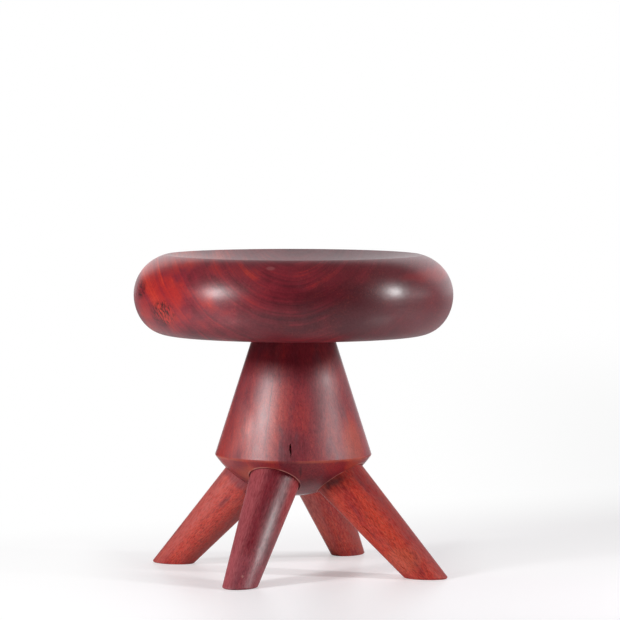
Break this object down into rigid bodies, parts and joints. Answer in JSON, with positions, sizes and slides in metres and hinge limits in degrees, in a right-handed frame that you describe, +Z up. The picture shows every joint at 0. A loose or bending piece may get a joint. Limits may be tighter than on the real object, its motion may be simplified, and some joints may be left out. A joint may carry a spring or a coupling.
{
  "type": "stool",
  "caption": "Turned hardwood stool: a dished round seat with a fat rounded edge on a cone-and-bowl pedestal with splayed, tapered round legs.",
  "frame": {"origin": "on the floor, under the centre of the seat", "axes": "+Z up along the turned axis of the seat and pedestal; -Y towards the viewer of the picture, +X to the viewer's right"},
  "size_m": [0.45, 0.45, 0.4469],
  "materials": {
    "seat_wood": "satin",
    "pedestal_wood": "satin",
    "leg_wood": "satin"
  },
  "bodies": {
    "root": {"seat": "seat_wood", "pedestal": "pedestal_wood", "leg_front": "leg_wood", "leg_right": "leg_wood", "leg_back": "leg_wood", "leg_left": "leg_wood"}
  },
  "joints": []
}
